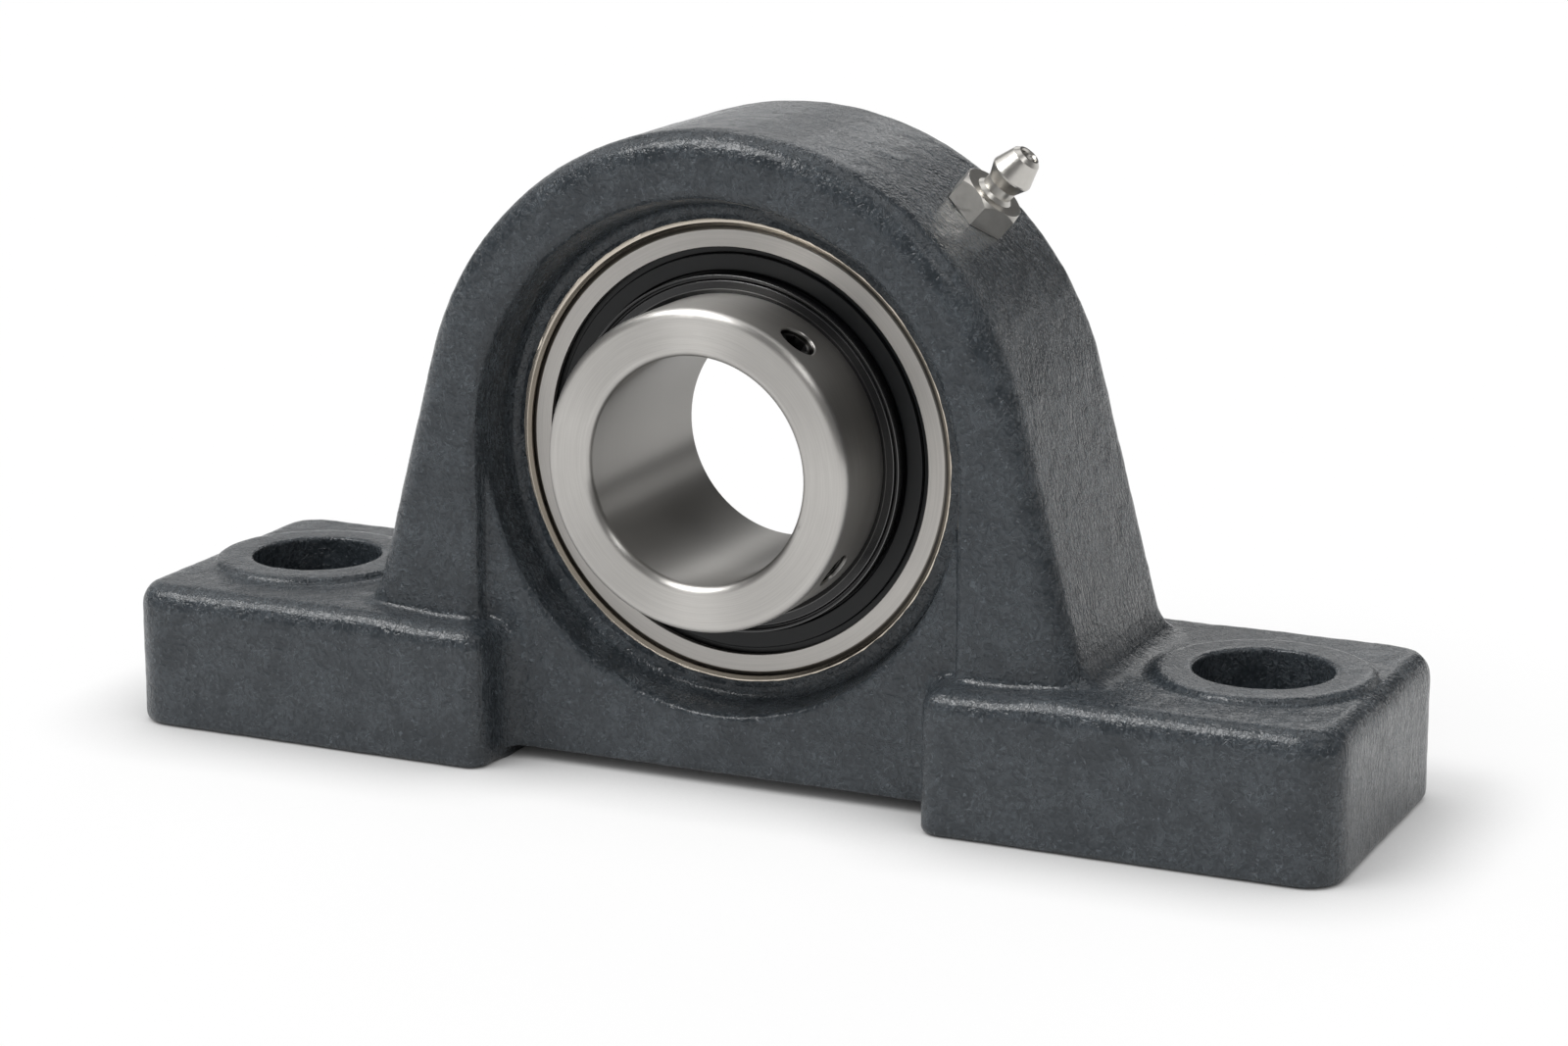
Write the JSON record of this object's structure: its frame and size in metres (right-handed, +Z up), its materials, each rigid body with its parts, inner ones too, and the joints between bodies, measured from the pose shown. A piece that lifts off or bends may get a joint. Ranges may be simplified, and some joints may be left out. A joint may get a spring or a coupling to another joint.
{
  "type": "pillow block bearing",
  "caption": "Cast pillow block housing with feet, holding a self-aligning insert ball bearing with a set-screw collar, seals and a grease nipple.",
  "frame": {"origin": "centre of the bearing: the shaft axis in the middle plane of the housing and of the spherical seat", "axes": "Y is the shaft axis, and the side with the set-screw collar faces -Y; +X runs along the base, to the side where the grease nipple stands; +Z is up, away from the surface that the feet are bolted to"},
  "size_m": [0.144, 0.038, 0.0725],
  "materials": {
    "housing_paint": "dark slate grey gloss paint over rough cast skin",
    "ring_steel": "finely ground, satin, with polished edges",
    "ball_steel": "lapped, mirror bright",
    "hard_steel": "ground",
    "cage_steel": "pressed sheet steel, satin",
    "seal_rubber": "black moulded rubber, satin",
    "black_steel": "pressed sheet steel, black finish, satin",
    "screw_steel": "black oxide, oiled",
    "nipple_plate": "bright nickel plate over turned steel"
  },
  "bodies": {
    "housing": {"housing": "housing_paint", "grease_nipple_body": "nipple_plate", "nipple_spring": "hard_steel"},
    "alignment_pin": {"alignment_pin": "hard_steel"},
    "outer_ring": {"outer_ring": "ring_steel", "front_seal_lip": "seal_rubber", "front_seal_core": "cage_steel", "rear_seal_lip": "seal_rubber", "rear_seal_core": "cage_steel"},
    "inner_ring": {"inner_ring": "ring_steel", "front_flinger": "black_steel"},
    "cage": {"cage_front_half": "cage_steel", "cage_rear_half": "cage_steel", "cage_rivets": "cage_steel"},
    "set_screw_upper": {"set_screw_upper": "screw_steel"},
    "set_screw_lower": {"set_screw_lower": "screw_steel"},
    "nipple_check_ball": {"nipple_check_ball": "hard_steel"},
    "ball_1": {"ball_1": "ball_steel"},
    "ball_2": {"ball_2": "ball_steel"},
    "ball_3": {"ball_3": "ball_steel"},
    "ball_4": {"ball_4": "ball_steel"},
    "ball_5": {"ball_5": "ball_steel"},
    "ball_6": {"ball_6": "ball_steel"},
    "ball_7": {"ball_7": "ball_steel"},
    "ball_8": {"ball_8": "ball_steel"},
    "ball_9": {"ball_9": "ball_steel"}
  },
  "joints": [
    {"name": "align_tilt", "type": "hinge", "parent": "housing", "child": "alignment_pin", "pos_m": [0, 0, 0], "axis": [1, 0, 0], "range_deg": [-2, 2]},
    {"name": "align_swing", "type": "hinge", "parent": "alignment_pin", "child": "outer_ring", "pos_m": [0, 0, 0], "axis": [0, 0, 1], "range_deg": [-2, 2]},
    {"name": "shaft_spin", "type": "hinge", "parent": "outer_ring", "child": "inner_ring", "pos_m": [0, 0, 0], "axis": [0, 1, 0], "continuous": true},
    {"name": "cage_spin", "type": "hinge", "parent": "outer_ring", "child": "cage", "pos_m": [0, 0, 0], "axis": [0, 1, 0], "continuous": true},
    {"name": "ball_1_spin", "type": "hinge", "parent": "cage", "child": "ball_1", "pos_m": [0, 0, 0.0195], "axis": [0, 1, 0], "continuous": true},
    {"name": "ball_2_spin", "type": "hinge", "parent": "cage", "child": "ball_2", "pos_m": [0.01253, 0, 0.01494], "axis": [0, 1, 0], "continuous": true},
    {"name": "ball_3_spin", "type": "hinge", "parent": "cage", "child": "ball_3", "pos_m": [0.0192, 0, 0.00339], "axis": [0, 1, 0], "continuous": true},
    {"name": "ball_4_spin", "type": "hinge", "parent": "cage", "child": "ball_4", "pos_m": [0.01689, 0, -0.00975], "axis": [0, 1, 0], "continuous": true},
    {"name": "ball_5_spin", "type": "hinge", "parent": "cage", "child": "ball_5", "pos_m": [0.00667, 0, -0.01832], "axis": [0, 1, 0], "continuous": true},
    {"name": "ball_6_spin", "type": "hinge", "parent": "cage", "child": "ball_6", "pos_m": [-0.00667, 0, -0.01832], "axis": [0, 1, 0], "continuous": true},
    {"name": "ball_7_spin", "type": "hinge", "parent": "cage", "child": "ball_7", "pos_m": [-0.01689, 0, -0.00975], "axis": [0, 1, 0], "continuous": true},
    {"name": "ball_8_spin", "type": "hinge", "parent": "cage", "child": "ball_8", "pos_m": [-0.0192, 0, 0.00339], "axis": [0, 1, 0], "continuous": true},
    {"name": "ball_9_spin", "type": "hinge", "parent": "cage", "child": "ball_9", "pos_m": [-0.01253, 0, 0.01494], "axis": [0, 1, 0], "continuous": true},
    {"name": "set_screw_upper_travel", "type": "slide", "parent": "inner_ring", "child": "set_screw_upper", "axis": [0.5793, 0, 0.8151], "range_m": [-0.00025, 0.0052]},
    {"name": "set_screw_lower_travel", "type": "slide", "parent": "inner_ring", "child": "set_screw_lower", "axis": [0.8151, 0, -0.5793], "range_m": [-0.00025, 0.0052]},
    {"name": "check_ball_press", "type": "slide", "parent": "housing", "child": "nipple_check_ball", "axis": [-0.6691, 0, -0.7431], "range_m": [0, 0.0008], "stiffness_N_per_m": 200, "springref_m": -0.001, "deforming": ["nipple_spring"]}
  ],
  "couplings": [
    {"joint": "cage_spin", "follows": "shaft_spin", "ratio": 0.39823},
    {"joint": "ball_1_spin", "follows": "shaft_spin", "ratio": -2.3546},
    {"joint": "ball_2_spin", "follows": "shaft_spin", "ratio": -2.3546},
    {"joint": "ball_3_spin", "follows": "shaft_spin", "ratio": -2.3546},
    {"joint": "ball_4_spin", "follows": "shaft_spin", "ratio": -2.3546},
    {"joint": "ball_5_spin", "follows": "shaft_spin", "ratio": -2.3546},
    {"joint": "ball_6_spin", "follows": "shaft_spin", "ratio": -2.3546},
    {"joint": "ball_7_spin", "follows": "shaft_spin", "ratio": -2.3546},
    {"joint": "ball_8_spin", "follows": "shaft_spin", "ratio": -2.3546},
    {"joint": "ball_9_spin", "follows": "shaft_spin", "ratio": -2.3546}
  ]
}
